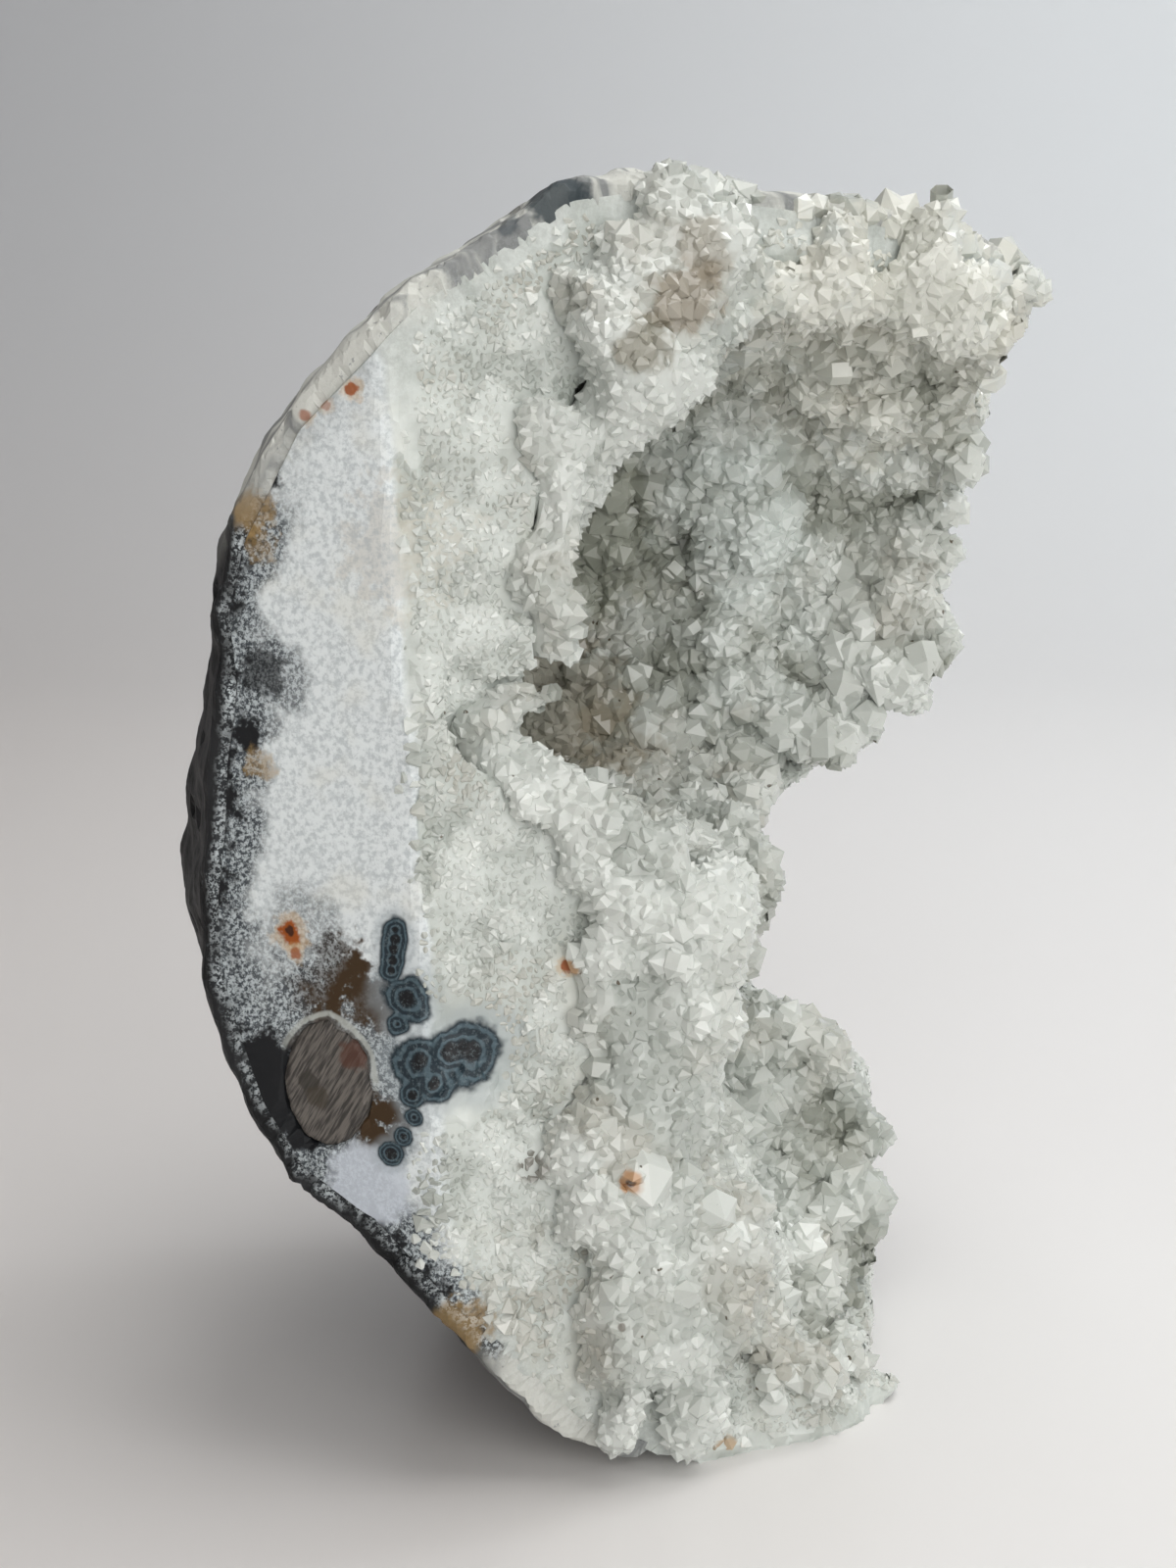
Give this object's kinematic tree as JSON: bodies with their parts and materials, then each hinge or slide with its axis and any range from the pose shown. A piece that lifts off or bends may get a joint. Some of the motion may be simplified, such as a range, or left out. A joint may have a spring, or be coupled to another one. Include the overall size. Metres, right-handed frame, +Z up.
{
  "type": "quartz geode",
  "caption": "Broken half of a hollow quartz nodule standing on edge: basalt skin, thick white quartz wall with a sawn face, and a crust of quartz points in the hollow",
  "frame": {"origin": "on the flat spot that the geode stands on, straight under the middle of the whole nodule", "axes": "+Z is up, as the geode stands; -Y is the side of the sawn face, which the picture shows; +X is the open side of the hollow"},
  "size_m": [0.0786, 0.0766, 0.1104],
  "materials": {
    "quartz_wall": "matte",
    "crystal_crust": "gloss",
    "basalt_rind": "matte",
    "basalt_inclusion": "matte"
  },
  "bodies": {
    "root": {"quartz_wall": "quartz_wall", "crystal_crust": "crystal_crust", "basalt_rind": "basalt_rind", "basalt_inclusion": "basalt_inclusion"}
  },
  "joints": []
}
